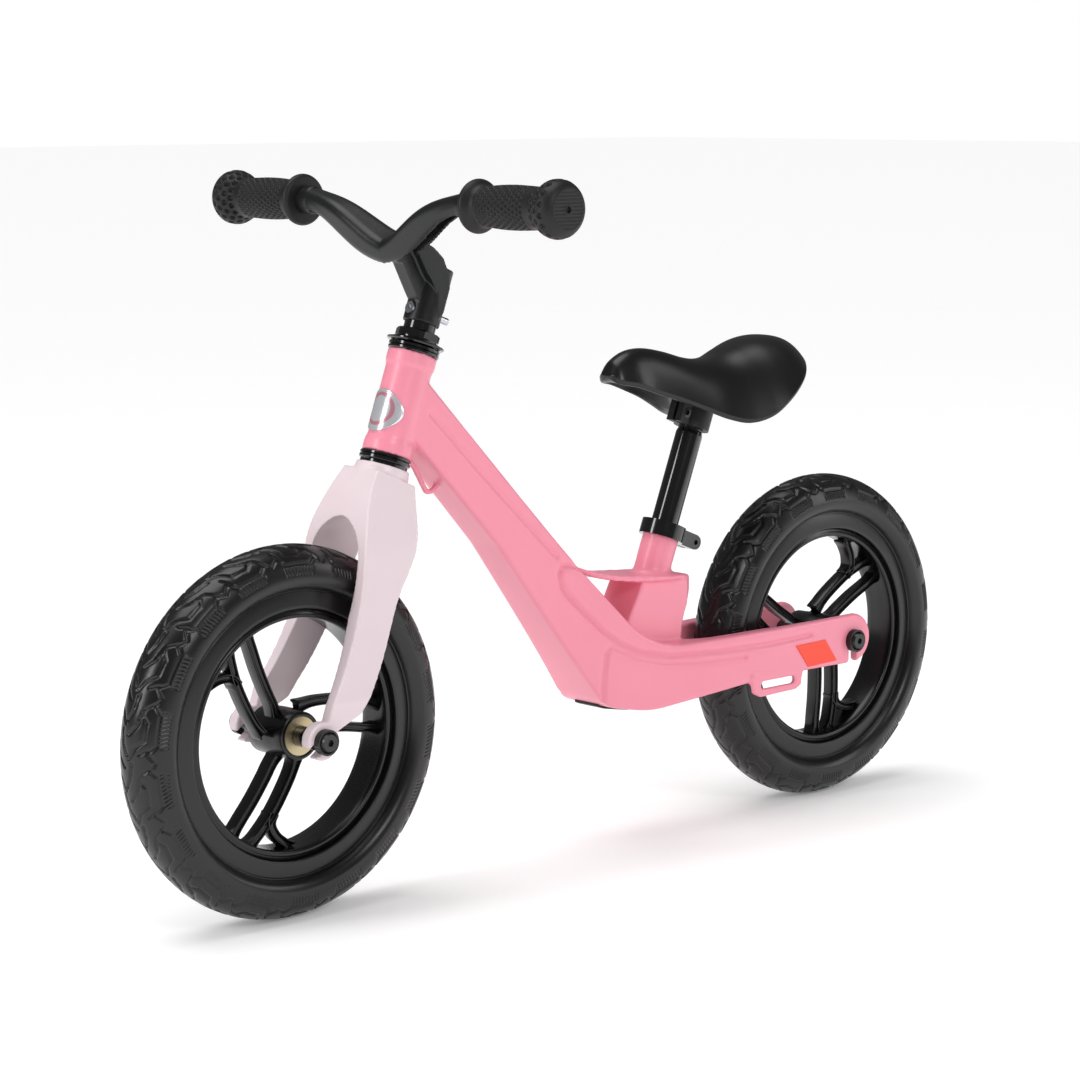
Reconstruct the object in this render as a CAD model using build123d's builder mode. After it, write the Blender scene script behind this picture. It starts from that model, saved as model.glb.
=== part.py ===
from build123d import *
from math import cos, radians, sin
import os

os.makedirs("parts", exist_ok=True)

# ---------------------------------------------------------------- driving sizes
# Millimetres and degrees. X is forward, Y is the rider's left, Z is up. The origin
# lies on the ground, midway between the two axles.

# wheels
wheel_radius = 145.0
wheelbase = 603.2
tyre_width = 48.8
tyre_neck_width = 25.2
tyre_neck_radius = 93.8
tyre_bead_radius = 111.8
tyre_bead_width = 31.4
rim_flange_radius = 111.6
rim_face_radius = 97.0
rim_face_width = 36.4
rim_lip_width = 31.2
rim_inner_radius = 89.8
rim_wall = 3.6
hub_radius = 18.7
hub_length = 42.6
spoke_thickness = 6.5
spoke_depth = 11.0
spoke_pairs = 3
hub_wall = 3.0
front_spoke_turn = 0.0
rear_spoke_turn = 85.0

# axles and what is on them
axle_radius = 5.0
bearing_radius = 15.0
bearing_width = 9.0
axle_bolt_radius = 3.0
axle_bolt_length = 16.0
bolt_head_radius = 8.2
bolt_head_height = 4.6
axle_cap_radius = 10.0
axle_cap_height = 5.5
spacer_radius = 8.0
socket_radius = 2.9
socket_depth = 2.6

# head tube and headset
head_angle = 69.8
head_tube_length = 82.0
head_tube_radius = 18.3
head_collar_radius = 19.6
head_collar_length = 9.0
fork_rake = 28.2
crown_to_axle = 228.0
cup_insert_radius = 15.0
cup_insert_length = 8.0
cup_radius = 20.4
cup_height = 6.4
headset_ball_radius = 1.9
ball_circle_radius = 16.3
adjusting_cap_radius = 22.9
adjusting_cap_height = 3.4
headset_gap = 0.6
lock_washer_height = 1.6
lock_nut_across = 33.0
lock_nut_height = 6.0

# steerer, fork
steerer_radius = 12.7
steerer_wall = 1.6
steerer_top = 140.0
steerer_in_crown = 24.0
crown_race_height = 2.4
fork_leg_outer = 50.0
fork_leg_inner = 40.0
fork_arch_half_width = 28.6
fork_eye_radius = 14.5
tyre_arch_gap = 16.0
crown_collar_radius = 21.0
crown_collar_height = 16.0
front_slot_angle = -38.0

# handlebar and grips
stem_bottom = 106.4
stem_radius = 14.6
stem_length = 46.0
stem_bolt_height = 115.6
stem_bolt_radius = 3.0
stem_bolt_head_radius = 4.8
stem_bolt_seat = 1.6
stem_bolt_head_height = 2.6
stem_bolt_length = 38.0
stem_socket_radius = 2.3
stem_web_thickness = 15.0
stem_cheek_thickness = 31.0
stem_corner_radius = 2.5
bar_shell_wall = 3.4
bar_radius = 11.0
grip_ahead = -5.1
grip_rise = 194.7
grip_inner_end = 101.5
grip_outer_end = 203.0
grip_end_wall = 4.0
grip_flange_radius = 20.5
grip_waist_radius = 15.0
grip_belly_radius = 16.8
grip_ball_radius = 22.0

# frame
down_tube_half_width = 17.0
stay_outer = 47.0
stay_inner = 39.0
rear_eye_radius = 23.4
elbow_top_radius = 90.0
elbow_bottom_radius = 30.0
frame_edge_radius = 3.4
top_plate_thickness = 4.6
strap_tab_thickness = 4.5
strap_slot_length = 43.0
strap_slot_width = 6.8
strap_rod_radius = 2.2
reflector_thickness = 0.8
badge_radius = 17.0
badge_thickness = 1.0
badge_height = 31.5
pad_thickness = 2.0
pad_half_width = 14.0
pad_length = 40.0
pad_middle = (-38.0, -28.0)

# seat
seat_angle = 68.17
seat_axis_x = -107.9
seat_axis_rise = 113.5
seat_tube_radius = 15.5
seat_tube_top = 5.0
seat_tube_length = 105.0
seat_web_half_width = 20.0
seat_bore_depth = 138.0
seat_post_radius = 11.7
seat_post_wall = 1.8
seat_post_bottom = -68.0
seat_post_top = 114.0
post_neck_radius = 10.6
post_neck_length = 24.0
seat_clamp_height = 13.0
seat_clamp_wall = 3.8
seat_clamp_ear_reach = 33.5
seat_clamp_ear_radius = 6.2
seat_clamp_ear_half_width = 9.5
seat_clamp_slit = 3.0
clamp_bolt_radius = 2.5
clamp_head_radius = 4.6
clamp_head_height = 4.0
bracket_radius = 15.4
bracket_bottom = 92.0
bracket_ear_reach = 23.0
bracket_ear_half_width = 8.5
collar_height = 24.0
bracket_plate_thickness = 4.0
bracket_plate_rise = 232.0
bracket_plate_length = 46.0
bracket_plate_width = 34.0
bracket_plate_back = 8.0
saddle_rim_height = 5.0
saddle_padding = 17.0
saddle_base_thickness = 3.0
saddle_base_inset = 6.0
saddle_base_gap = 0.8

# clearances
running_clearance = 0.05
fit_clearance = 0.05
face_clearance = 0.3
slot_clearance = 0.15
steerer_room = 1.3
skin_clearance = 0.2

# ---------------------------------------------------------------- frames of reference
front_axle = Vector(wheelbase / 2, 0, wheel_radius)
rear_axle = Vector(-wheelbase / 2, 0, wheel_radius)
head_up = Vector(-cos(radians(head_angle)), 0, sin(radians(head_angle)))
head_ahead = Vector(sin(radians(head_angle)), 0, cos(radians(head_angle)))
head_base = front_axle + head_up * crown_to_axle - head_ahead * fork_rake
head_plane = Plane(origin=head_base, x_dir=head_ahead, z_dir=head_up)
seat_up = Vector(-cos(radians(seat_angle)), 0, sin(radians(seat_angle)))
seat_ahead = Vector(sin(radians(seat_angle)), 0, cos(radians(seat_angle)))
seat_base = Vector(seat_axis_x, 0, wheel_radius + seat_axis_rise)
seat_plane = Plane(origin=seat_base, x_dir=seat_ahead, z_dir=seat_up)
across = Vector(0, 1, 0)
frame_side = Plane(origin=(0, 0, wheel_radius), x_dir=(1, 0, 0), z_dir=-across)
grip_x = head_base.X + grip_ahead
grip_z = head_base.Z + grip_rise


def head_section():
    """The plane through the steering axis: radius along x, height along y."""
    return Plane(origin=head_base, x_dir=head_ahead, z_dir=-across)


def seat_section():
    """The plane through the seat post's axis: radius along x, height along y."""
    return Plane(origin=seat_base, x_dir=seat_ahead, z_dir=-across)


def wheel_face(axle):
    """The wheel's middle plane, x forward and y up."""
    return Plane(origin=axle, x_dir=(1, 0, 0), z_dir=-across)


def wheel_section(axle):
    """A plane through the axle: radius along x, the axle along y."""
    return Plane(origin=axle, x_dir=(0, 0, 1), z_dir=(-1, 0, 0))


def save(piece, name):
    piece.part.label = name
    export_step(piece.part, f"parts/{name}.step")


def ring(plane, start, length, outer, inner, name):
    """A plain ring that starts at a height along the plane's axis."""
    with BuildPart() as piece:
        with BuildSketch(plane.offset(start)):
            Circle(outer)
            Circle(inner, mode=Mode.SUBTRACT)
        extrude(amount=length)
    save(piece, name)


# ---------------------------------------------------------------- wheels
def make_tyre(name, axle):
    shoulder = wheel_radius - tyre_width / 2
    half = tyre_width / 2
    bead = tyre_bead_width / 2
    neck = tyre_neck_width / 2
    swell = (shoulder + tyre_bead_radius) / 2 - half / 12
    with BuildPart() as tyre:
        with BuildSketch(wheel_section(axle)):
            with BuildLine():
                ThreePointArc((shoulder, half), (wheel_radius, 0), (shoulder, -half))
                ThreePointArc(
                    (shoulder, -half), (swell, -(half + bead) / 2 - half / 16), (tyre_bead_radius, -bead)
                )
                Polyline(
                    (tyre_bead_radius, -bead), (tyre_bead_radius, -neck), (tyre_neck_radius, -neck),
                    (tyre_neck_radius, neck), (tyre_bead_radius, neck), (tyre_bead_radius, bead),
                )
                ThreePointArc(
                    (tyre_bead_radius, bead), (swell, (half + bead) / 2 + half / 16), (shoulder, half)
                )
            make_face()
        revolve(axis=Axis(axle, across))
    save(tyre, name)


def make_rim(name, axle, turn):
    neck = tyre_neck_width / 2 + fit_clearance
    floor = tyre_neck_radius - fit_clearance
    face = rim_face_width / 2
    lip = rim_lip_width / 2
    inner = rim_inner_radius
    upper_half = [
        (floor, 0), (floor, neck), (rim_flange_radius, neck), (rim_flange_radius, tyre_bead_width / 2),
        (rim_face_radius, face), (rim_face_radius, face - rim_wall), (inner + rim_wall, face - rim_wall),
        (inner + 0.8 * rim_wall, lip), (inner + rim_wall / 4, lip), (inner, lip - rim_wall), (inner, 0),
    ]
    root = hub_radius - spoke_thickness / 2
    tip = rim_inner_radius
    with BuildLine(mode=Mode.PRIVATE) as straight:
        ThreePointArc((0.42 * root, 0.9 * root), (24.2, 51.0), (0.407 * tip, 0.913 * tip))
    with BuildLine(mode=Mode.PRIVATE) as bowed:
        ThreePointArc((1.4 * root, -0.1 * root), (45.4, 41.8), (0.592 * tip, 0.806 * tip))
    with BuildLine(mode=Mode.PRIVATE) as branch:
        ThreePointArc((46.6, 43.6), (61.0, 48.0), (0.875 * tip, 0.484 * tip))
    with BuildPart() as rim:
        with BuildSketch(wheel_section(axle)):
            with BuildLine():
                Polyline(*upper_half)
                mirror(about=Plane.XZ)
            make_face()
        revolve(axis=Axis(axle, across))
        with BuildSketch(wheel_face(axle)):
            with PolarLocations(0, spoke_pairs, start_angle=turn):
                for spoke in (straight, bowed, branch):
                    SlotArc(spoke.edge(), spoke_thickness)
        extrude(amount=spoke_depth / 2, both=True)
        with BuildSketch(wheel_face(axle)):
            Circle(hub_radius)
        extrude(amount=hub_length / 2, both=True)
        with BuildSketch(wheel_face(axle)):
            Circle(bearing_radius - hub_wall)
        extrude(amount=hub_length / 2, both=True, mode=Mode.SUBTRACT)
        for side in (-1, 1):
            with BuildSketch(wheel_face(axle).offset(side * hub_length / 2)):
                Circle(bearing_radius + fit_clearance)
            extrude(amount=-side * (bearing_width + face_clearance), mode=Mode.SUBTRACT)
    save(rim, name)


def make_bearings(name, axle):
    with BuildPart() as bearings:
        for side in (-1, 1):
            with BuildSketch(wheel_face(axle).offset(side * (hub_length / 2 - face_clearance))):
                Circle(bearing_radius)
                Circle(axle_radius + running_clearance, mode=Mode.SUBTRACT)
            extrude(amount=-side * bearing_width)
    save(bearings, name)


def make_axle_set(end, axle, inner_face, outer_face):
    """The axle rod, two spacers, two caps and two button-head bolts of one wheel."""
    rod_half = outer_face - face_clearance
    with BuildPart() as rod:
        with BuildSketch(wheel_face(axle)):
            Circle(axle_radius)
        extrude(amount=rod_half, both=True)
        for side in (-1, 1):
            with BuildSketch(wheel_face(axle).offset(side * rod_half)):
                Circle(axle_bolt_radius + fit_clearance)
            extrude(amount=-side * axle_bolt_length, mode=Mode.SUBTRACT)
    save(rod, f"{end}_axle")

    with BuildPart() as spacers:
        for side in (-1, 1):
            with BuildSketch(wheel_face(axle).offset(side * inner_face)):
                Circle(spacer_radius)
                Circle(axle_radius + fit_clearance, mode=Mode.SUBTRACT)
            extrude(amount=-side * (inner_face - hub_length / 2 - face_clearance))
    save(spacers, f"{end}_axle_spacers")

    with BuildPart() as caps:
        for side in (-1, 1):
            with BuildSketch(wheel_face(axle).offset(side * outer_face)):
                Circle(axle_cap_radius)
                Circle(axle_bolt_radius + fit_clearance, mode=Mode.SUBTRACT)
            extrude(amount=side * axle_cap_height)
            with BuildSketch(wheel_face(axle).offset(side * (outer_face + axle_cap_height))):
                Circle(bolt_head_radius + slot_clearance)
            extrude(amount=-side * bolt_head_height / 2, mode=Mode.SUBTRACT)
    save(caps, f"{end}_axle_caps")

    head_seat = outer_face + axle_cap_height - bolt_head_height / 2
    with BuildPart() as bolts:
        for side in (-1, 1):
            with BuildSketch(wheel_face(axle).offset(side * head_seat)):
                Circle(bolt_head_radius)
            extrude(amount=side * bolt_head_height, taper=20)
            with BuildSketch(wheel_face(axle).offset(side * head_seat)):
                Circle(axle_bolt_radius)
            extrude(amount=-side * axle_bolt_length)
            with BuildSketch(wheel_face(axle).offset(side * (head_seat + bolt_head_height))):
                RegularPolygon(socket_radius, 6)
            extrude(amount=-side * socket_depth, mode=Mode.SUBTRACT)
    save(bolts, f"{end}_axle_bolts")


make_tyre("front_tyre", front_axle)
make_tyre("rear_tyre", rear_axle)
make_rim("front_rim", front_axle, front_spoke_turn)
make_rim("rear_rim", rear_axle, rear_spoke_turn)
make_bearings("front_wheel_bearings", front_axle)
make_bearings("rear_wheel_bearings", rear_axle)
make_axle_set("front", front_axle, fork_leg_inner, fork_leg_outer)
make_axle_set("rear", rear_axle, stay_inner, stay_outer)

# ---------------------------------------------------------------- fork and steerer
crown_top = -cup_height - headset_gap - crown_race_height

# Seen from the side: the front edge bows forward to the axle and the rear edge swells
# at the shoulder. Points are measured from the front axle, ahead and up.
fork_front_edge = [(-80.6, 197.0), (-62.6, 168.0), (-54.1, 143.0), (-49.1, 113.0), (-35.6, 73.0),
                   (-9.6, 27.0)]
fork_rear_edge = [(-36.6, 16.0), (-68.1, 66.0), (-85.1, 102.0), (-103.6, 134.0), (-108.1, 155.0),
                  (-113.6, 181.0)]
# Seen from the front: half widths of the outside, measured from the front axle.
fork_outer_edge = [(21.0, 196.0), (28.0, 173.0), (36.0, 147.0), (39.0, 117.0), (43.5, 70.0),
                   (fork_leg_outer, 27.0)]
fork_reach = 150.0
arch_crown = wheel_radius + tyre_arch_gap
arch_spring = arch_crown - 34.0
front_view = Plane(origin=front_axle, x_dir=across, z_dir=(1, 0, 0))

with BuildPart() as fork:
    with BuildSketch(wheel_face(front_axle)):
        with BuildLine():
            Spline(*fork_front_edge)
            Polyline(fork_front_edge[-1], (0, 0), fork_rear_edge[0])
            Spline(*fork_rear_edge)
            Line(fork_rear_edge[-1], fork_front_edge[0])
        make_face()
        Circle(fork_eye_radius)
    extrude(amount=fork_leg_outer, both=True)
    with BuildSketch(front_view):
        with BuildLine():
            Line((0, fork_reach * 2), (fork_outer_edge[0][0], fork_reach * 2))
            Line((fork_outer_edge[0][0], fork_reach * 2), fork_outer_edge[0])
            Spline(*fork_outer_edge)
            Polyline(
                fork_outer_edge[-1], (fork_leg_outer, -2 * fork_eye_radius),
                (fork_leg_inner, -2 * fork_eye_radius), (fork_leg_inner, 2 * fork_eye_radius),
                (fork_arch_half_width, 6 * fork_eye_radius), (fork_arch_half_width, arch_spring),
            )
            ThreePointArc(
                (fork_arch_half_width, arch_spring),
                (0.75 * fork_arch_half_width, arch_spring + 0.66 * (arch_crown - arch_spring)),
                (0, arch_crown),
            )
            Line((0, arch_crown), (0, fork_reach * 2))
        make_face()
        mirror(about=Plane.YZ)
    extrude(amount=fork_reach, both=True, mode=Mode.INTERSECT)
    with BuildSketch(head_plane.offset(crown_top)):
        Circle(crown_collar_radius)
    extrude(amount=-crown_collar_height, taper=-8)
    with BuildSketch(head_plane.offset(crown_top)):
        Rectangle(fork_reach, fork_reach)
    extrude(amount=fork_reach, mode=Mode.SUBTRACT)
    with BuildSketch(head_plane.offset(crown_top)):
        Circle(steerer_radius + fit_clearance)
    extrude(amount=-steerer_in_crown, mode=Mode.SUBTRACT)
    slot_way = Vector(cos(radians(front_slot_angle)), 0, sin(radians(front_slot_angle)))
    with BuildSketch(Plane(origin=front_axle, x_dir=slot_way, z_dir=-across)):
        Circle(axle_radius + slot_clearance)
        with Locations((fork_eye_radius, 0)):
            Rectangle(2 * fork_eye_radius, 2 * (axle_radius + slot_clearance))
    extrude(amount=fork_leg_outer, both=True, mode=Mode.SUBTRACT)
save(fork, "fork")

bolt_axis_plane = Plane(origin=head_base + head_up * stem_bolt_height, x_dir=across, z_dir=head_ahead)
with BuildPart() as steerer:
    with BuildSketch(head_plane.offset(crown_top - steerer_in_crown)):
        Circle(steerer_radius)
        Circle(steerer_radius - steerer_wall, mode=Mode.SUBTRACT)
    extrude(amount=steerer_top - crown_top + steerer_in_crown)
    with BuildSketch(bolt_axis_plane):
        Circle(stem_bolt_radius + slot_clearance)
    extrude(amount=2 * steerer_radius, both=True, mode=Mode.SUBTRACT)
save(steerer, "steerer_tube")

# ---------------------------------------------------------------- headset
race_bore = steerer_radius + fit_clearance
cup_bore = steerer_radius + 1.0
cup_top = head_tube_length + cup_height
ball_seat = ball_circle_radius + headset_ball_radius + 0.4


def make_cup(name, face, way):
    """A cup pressed into one end of the head tube. Its mouth holds the ball ring."""
    mouth = face + way * cup_height
    seat_depth = mouth - way * (2 * headset_ball_radius + 0.6)
    with BuildPart() as cup:
        with BuildSketch(head_section()):
            with BuildLine():
                Polyline(
                    (cup_bore, face - way * cup_insert_length),
                    (cup_insert_radius, face - way * cup_insert_length),
                    (cup_insert_radius, face),
                    (cup_radius - 0.8, face),
                    (cup_radius, face + way * 0.8),
                    (cup_radius, face + way * 2.4),
                    (cup_radius - 0.9, face + way * 3.0),
                    (cup_radius, face + way * 3.6),
                    (cup_radius, mouth - way * 0.8),
                    (cup_radius - 0.8, mouth),
                    (ball_seat, mouth),
                    (ball_seat, seat_depth),
                    (cup_bore, seat_depth),
                    close=True,
                )
            make_face()
        revolve(axis=Axis(head_base, head_up))
    save(cup, name)


def make_ball_ring(name, face, way):
    """The caged ball ring, drawn as one closed ring of the balls' size."""
    middle = face + way * (cup_height - headset_ball_radius - 0.3)
    with BuildPart() as balls:
        with BuildSketch(head_section()):
            with Locations((ball_circle_radius, middle)):
                Circle(headset_ball_radius)
        revolve(axis=Axis(head_base, head_up))
    save(balls, name)


make_cup("headset_upper_cup", head_tube_length, 1)
make_cup("headset_lower_cup", 0, -1)
make_ball_ring("headset_upper_bearing", head_tube_length, 1)
make_ball_ring("headset_lower_bearing", 0, -1)
ring(head_plane, crown_top, crown_race_height, cup_radius - 1.4, race_bore, "fork_crown_race")

with BuildPart() as adjusting_cap:
    with BuildSketch(head_section()):
        with BuildLine():
            Polyline(
                (race_bore, cup_top + headset_gap), (adjusting_cap_radius - 1, cup_top + headset_gap),
                (adjusting_cap_radius, cup_top + headset_gap + 1),
                (adjusting_cap_radius, cup_top + headset_gap + 2),
                (adjusting_cap_radius - 4, cup_top + headset_gap + adjusting_cap_height),
                (race_bore, cup_top + headset_gap + adjusting_cap_height), close=True,
            )
        make_face()
    revolve(axis=Axis(head_base, head_up))
save(adjusting_cap, "headset_adjusting_cap")

washer_bottom = cup_top + headset_gap + adjusting_cap_height
nut_bottom = washer_bottom + lock_washer_height
ring(head_plane, washer_bottom, lock_washer_height, lock_nut_across / 2, race_bore, "headset_lock_washer")
with BuildPart() as lock_nut:
    with BuildSketch(head_plane.offset(nut_bottom)):
        RegularPolygon(lock_nut_across / 2, 6, major_radius=False)
        Circle(race_bore, mode=Mode.SUBTRACT)
    extrude(amount=lock_nut_height)
    with BuildSketch(head_section()):
        with BuildLine():
            Polyline(
                (0, nut_bottom - 1), (lock_nut_across / 2 + 1.5, nut_bottom - 1),
                (lock_nut_across / 2 + 1.5, nut_bottom + lock_nut_height - 1.2),
                (lock_nut_across / 2 - 0.4, nut_bottom + lock_nut_height),
                (0, nut_bottom + lock_nut_height), close=True,
            )
        make_face()
    revolve(axis=Axis(head_base, head_up), mode=Mode.INTERSECT)
save(lock_nut, "headset_lock_nut")

# ---------------------------------------------------------------- handlebar and grips
# Sections of the moulded arm from the middle outwards: y, centre ahead of and above the
# head tube's lower end, depth fore and aft, height, lean from upright.
arm_sections = [
    (0.0, -10.4, 159.3, 30.0, 20.0, 15.0),
    (20.0, -8.4, 165.8, 28.0, 25.0, 15.0),
    (45.0, -4.9, 178.8, 24.0, 27.0, 15.0),
    (70.0, -3.4, 190.3, 21.0, 20.0, 8.0),
    (90.0, grip_ahead, grip_rise, 2 * bar_radius - 1.0, 2 * bar_radius - 3.0, 0.0),
]
arm_corner_radius = 8.0
# The web under the arms and the wider cheeks that wrap the stem, seen from the side, from the
# head tube's lower end.
web_outline = [(-40.4, 100.0), (-50.0, 112.0), (-54.0, 130.0), (-50.0, 148.0), (-30.4, 163.3),
               (-12.4, 167.8), (1.6, 152.8), (-14.4, 148.8), (-26.0, 126.0)]
cheek_outline = [(-40.6, 112.0), (-41.5, 124.7), (-36.8, 133.5), (-31.7, 140.6), (-26.7, 150.0),
                 (-21.0, 160.5), (-29.0, 165.0), (-39.0, 159.5), (-48.1, 151.1), (-54.2, 137.4),
                 (-54.2, 127.0), (-47.9, 109.7), (-42.4, 100.0)]
bar_side = Plane(origin=head_base, x_dir=(1, 0, 0), z_dir=-across)

with BuildPart() as handlebar:
    for side in (-1, 1):
        for y, ahead, rise, deep, tall, lean in arm_sections:
            lean_way = Vector(cos(radians(lean)), 0, -sin(radians(lean)))
            middle = head_base + Vector(ahead, side * y, rise)
            with BuildSketch(Plane(origin=middle, x_dir=lean_way, z_dir=across)):
                RectangleRounded(deep, tall, min(arm_corner_radius, tall / 2 - 1))
        loft()
        for y, ahead, rise, deep, tall, lean in arm_sections:
            lean_way = Vector(cos(radians(lean)), 0, -sin(radians(lean)))
            lean_down = Vector(-sin(radians(lean)), 0, -cos(radians(lean)))
            middle = head_base + Vector(ahead, side * y, rise) + lean_down * tall / 2
            with BuildSketch(Plane(origin=middle, x_dir=lean_way, z_dir=across)):
                RectangleRounded(deep - 2 * bar_shell_wall, 2 * tall - 3 * bar_shell_wall, bar_shell_wall)
        loft(mode=Mode.SUBTRACT)
        with BuildSketch(Plane(origin=(grip_x, side * arm_sections[-1][0], grip_z), z_dir=across)):
            Circle(bar_radius)
        extrude(amount=side * (grip_outer_end - grip_end_wall - face_clearance - arm_sections[-1][0]))
    for outline, thickness in ((web_outline, stem_web_thickness), (cheek_outline, stem_cheek_thickness)):
        with BuildSketch(bar_side):
            with BuildLine():
                Polyline(*outline, close=True)
            make_face()
            fillet(vertices(), stem_corner_radius)
        extrude(amount=thickness / 2, both=True)
    with BuildSketch(head_plane.offset(stem_bottom)):
        Circle(stem_radius)
    extrude(amount=stem_length)
    with BuildSketch(head_plane.offset(stem_bottom - stem_radius)):
        Circle(race_bore)
    extrude(amount=steerer_top + face_clearance - stem_bottom + stem_radius, mode=Mode.SUBTRACT)
    with BuildSketch(bolt_axis_plane):
        Circle(stem_bolt_radius + slot_clearance)
    extrude(amount=3 * stem_radius, both=True, mode=Mode.SUBTRACT)
    with BuildSketch(bolt_axis_plane.offset(stem_radius - stem_bolt_seat)):
        Circle(stem_bolt_head_radius + slot_clearance)
    extrude(amount=stem_radius, mode=Mode.SUBTRACT)
save(handlebar, "handlebar")

with BuildPart() as stem_bolt:
    with BuildSketch(bolt_axis_plane.offset(stem_radius - stem_bolt_seat)):
        Circle(stem_bolt_head_radius)
    extrude(amount=stem_bolt_head_height)
    with BuildSketch(bolt_axis_plane.offset(stem_radius - stem_bolt_seat)):
        Circle(stem_bolt_radius)
    extrude(amount=-stem_bolt_length)
    with BuildSketch(bolt_axis_plane.offset(stem_radius - stem_bolt_seat + stem_bolt_head_height)):
        RegularPolygon(stem_socket_radius, 6)
    extrude(amount=-0.8 * stem_bolt_head_height, mode=Mode.SUBTRACT)
save(stem_bolt, "stem_bolt")


def make_grip(name, side):
    """A moulded grip: inner guard disc, bellied body and a round safety end."""
    start = grip_inner_end
    end = grip_outer_end
    with BuildPart() as grip:
        with BuildSketch(Plane(origin=(grip_x, 0, grip_z), x_dir=(1, 0, 0), z_dir=(0, 0, side))):
            with BuildLine():
                Line((0, start), (grip_flange_radius - 4, start))
                ThreePointArc(
                    (grip_flange_radius - 4, start), (grip_flange_radius, start + 4),
                    (grip_flange_radius - 4, start + 8),
                )
                Spline(
                    (grip_flange_radius - 4, start + 8), (grip_waist_radius, start + 16),
                    (grip_belly_radius, (start + end) / 2), (grip_waist_radius + 0.6, end - 28),
                    (grip_ball_radius - 3, end - 20),
                )
                ThreePointArc(
                    (grip_ball_radius - 3, end - 20), (grip_ball_radius, end - 10),
                    (grip_ball_radius - 5, end),
                )
                Polyline((grip_ball_radius - 5, end), (0, end), (0, start))
            make_face()
        revolve(axis=Axis((grip_x, 0, grip_z), across))
        with BuildSketch(Plane(origin=(grip_x, side * start, grip_z), z_dir=(0, side, 0))):
            Circle(bar_radius + fit_clearance)
        extrude(amount=end - start - grip_end_wall, mode=Mode.SUBTRACT)
    save(grip, name)


make_grip("grip_left", 1)
make_grip("grip_right", -1)

# ---------------------------------------------------------------- frame
def head_point(height):
    """A point of the steering axis, as the frame's side view has it."""
    place = head_base + head_up * height
    return (place.X, place.Z - wheel_radius)


# The main casting seen from the side: down tube, elbow and the two stays. Points are
# (x, height over the axles).
side_top = [head_point(68.0), (-62.5, 21.0), (rear_axle.X, rear_eye_radius)]
side_bottom = [(rear_axle.X, -rear_eye_radius + 3), (rear_axle.X + 61.6, -19.6), (-170.0, -21.6),
               (-62.0, -32.0), (-16.0, -23.5), (95.0, 123.0), head_point(21.3)]
# Half widths seen from above, from the head tube back to the straight ends of the stays.
plan_edge = [(head_base.X + head_collar_radius, down_tube_half_width),
             (head_base.X - 2 * head_collar_radius, down_tube_half_width + 0.3), (95.0, 18.8), (40.0, 21.0),
             (2.0, 25.0), (-30.0, 31.5), (-62.0, 35.6), (-110.0, 40.4), (-160.0, 44.6),
             (-215.0, stay_outer)]
tyre_front = rear_axle.X + wheel_radius
wheel_gap_edge = [(tyre_front - 58.4, 35.5), (tyre_front - 23.4, 31.0), (tyre_front + 6.6, 28.8),
                  (tyre_front + 34.6, 21.0), (tyre_front + 44.6, 0.0)]
stay_end = rear_axle.X - 2 * rear_eye_radius
cut_height = 2 * wheel_radius

with BuildSketch(frame_side, mode=Mode.PRIVATE) as casting_side:
    with BuildLine():
        FilletPolyline(*side_top, radius=elbow_top_radius)
        ThreePointArc(side_top[-1], (rear_axle.X - rear_eye_radius, 0), side_bottom[0])
        FilletPolyline(*side_bottom, radius=[120, 120, 110, elbow_bottom_radius, 90])
        Line(side_bottom[-1], side_top[0])
    make_face()

# The thin bridge from the down tube back over the seat cluster.
bridge_top = [(6.0, 97.5), (-15.0, 89.5), (-40.0, 84.5), (-74.0, 81.0), (-105.0, 79.0),
              (-122.0, 76.5), (-134.0, 68.5)]
bridge_plan = [(10.0, 10.0), (-15.0, 17.5), (-40.0, 21.5), (-75.0, 26.0), (-105.0, 24.5),
               (-125.0, 15.0), (-136.0, 0.0)]
with BuildPart() as bridge:
    with BuildSketch(frame_side):
        with BuildLine():
            Spline(*bridge_top)
            Line(bridge_top[-1], (bridge_top[-1][0], bridge_top[-1][1] - top_plate_thickness))
            Spline(*[(x, z - top_plate_thickness) for x, z in reversed(bridge_top)])
            Line((bridge_top[0][0], bridge_top[0][1] - top_plate_thickness), bridge_top[0])
        make_face()
    extrude(amount=stay_outer, both=True)
    with BuildSketch(Plane.XY.offset(wheel_radius)):
        with BuildLine():
            Spline(*bridge_plan)
            Polyline(bridge_plan[-1], (bridge_plan[0][0], 0), bridge_plan[0])
        make_face()
        mirror(about=Plane.XZ)
    extrude(amount=cut_height, mode=Mode.INTERSECT)

# The hollowed web under the bridge that carries the seat tube.
web_rear = [(-132.0, 68.5), (-121.0, 55.0), (-114.5, 41.0), (-112.0, 27.0)]
web_front = [web_rear[-1], (-108.0, 0), (-60.0, 0), (-46.0, 41.0), (-66.0, 78.0), (-110.0, 76.0), web_rear[0]]
with BuildPart() as seat_web:
    with BuildSketch(frame_side):
        with BuildLine():
            Polyline(*web_front)
            Spline(*web_rear)
        make_face()
    extrude(amount=seat_web_half_width, both=True)
    with BuildSketch(Plane.XY):
        with BuildLine():
            Spline(*bridge_plan)
            Polyline(bridge_plan[-1], (bridge_plan[0][0], 0), bridge_plan[0])
        make_face()
        mirror(about=Plane.XZ)
    extrude(amount=2 * wheel_radius, mode=Mode.INTERSECT)

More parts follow.
